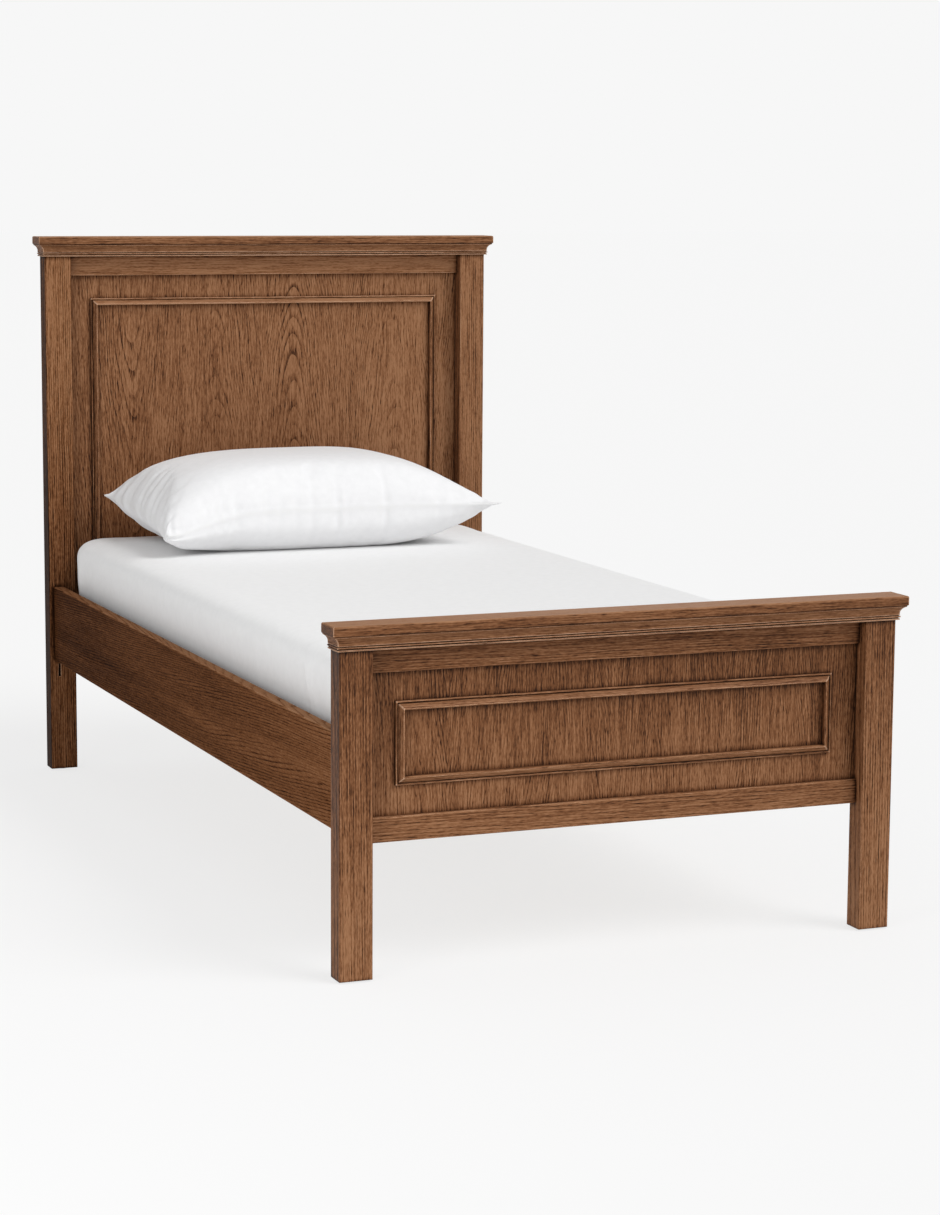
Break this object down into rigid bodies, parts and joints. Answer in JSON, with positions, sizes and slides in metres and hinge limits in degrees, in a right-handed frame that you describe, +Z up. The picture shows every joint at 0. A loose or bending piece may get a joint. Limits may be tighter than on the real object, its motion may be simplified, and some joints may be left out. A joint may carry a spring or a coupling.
{
  "type": "single bed",
  "caption": "Single bed of stained oak with a tall moulded-panel headboard, a low matching footboard, hooked side rails, slats, a mattress and a pillow.",
  "frame": {"origin": "on the floor, under the middle of the bed's outer box", "axes": "+Z up, +Y from the footboard to the headboard, +X across the bed to the right of a person who stands at the foot and faces the headboard"},
  "size_m": [1.126, 2.059, 1.2465],
  "materials": {
    "oak_upright": "satin",
    "oak_across": "satin",
    "oak_along": "satin",
    "oak_panel": "satin",
    "slat_wood": "matte",
    "hook_steel": "satin",
    "glide_nylon": "matte",
    "webbing": "matte",
    "sheet_cotton": "matte",
    "pillow_cotton": "matte"
  },
  "bodies": {
    "frame": {"crown_dowels": "oak_upright", "foot_cap": "oak_across", "foot_cove_front": "oak_across", "foot_cove_left": "oak_along", "foot_cove_right": "oak_along", "foot_crown_core": "oak_across", "foot_low_rail": "oak_across", "foot_mould_bottom": "oak_across", "foot_mould_left": "oak_upright", "foot_mould_right": "oak_upright", "foot_mould_top": "oak_across", "foot_panel": "oak_panel", "foot_post_left": "oak_upright", "foot_post_right": "oak_upright", "foot_top_rail": "oak_across", "head_cap": "oak_across", "head_cove_front": "oak_across", "head_cove_left": "oak_along", "head_cove_right": "oak_along", "head_crown_core": "oak_across", "head_low_rail": "oak_across", "head_mould_bottom": "oak_across", "head_mould_left": "oak_upright", "head_mould_right": "oak_upright", "head_mould_top": "oak_across", "head_panel": "oak_panel", "head_post_left": "oak_upright", "head_post_right": "oak_upright", "head_top_rail": "oak_across", "hook_rivets": "hook_steel", "ledger_left": "oak_along", "ledger_right": "oak_along", "ledger_screws": "hook_steel", "post_glides": "glide_nylon", "post_pins": "hook_steel", "rail_hook_foot_left": "hook_steel", "rail_hook_foot_right": "hook_steel", "rail_hook_head_left": "hook_steel", "rail_hook_head_right": "hook_steel", "side_rail_left": "oak_along", "side_rail_right": "oak_along", "slat_01": "slat_wood", "slat_02": "slat_wood", "slat_03": "slat_wood", "slat_04": "slat_wood", "slat_05": "slat_wood", "slat_06": "slat_wood", "slat_07": "slat_wood", "slat_08": "slat_wood", "slat_09": "slat_wood", "slat_10": "slat_wood", "slat_11": "slat_wood", "slat_12": "slat_wood", "slat_13": "slat_wood", "slat_strap_left": "webbing", "slat_strap_right": "webbing"},
    "mattress_body": {"mattress": "sheet_cotton"},
    "pillow_body": {"pillow": "pillow_cotton"}
  },
  "joints": [
    {"name": "mattress_lift", "type": "slide", "parent": "frame", "child": "mattress_body", "axis": [0, 0, 1], "range_m": [0, 0.35]},
    {"name": "pillow_lift", "type": "slide", "parent": "mattress_body", "child": "pillow_body", "axis": [0, 0, 1], "range_m": [0, 0.3]}
  ]
}
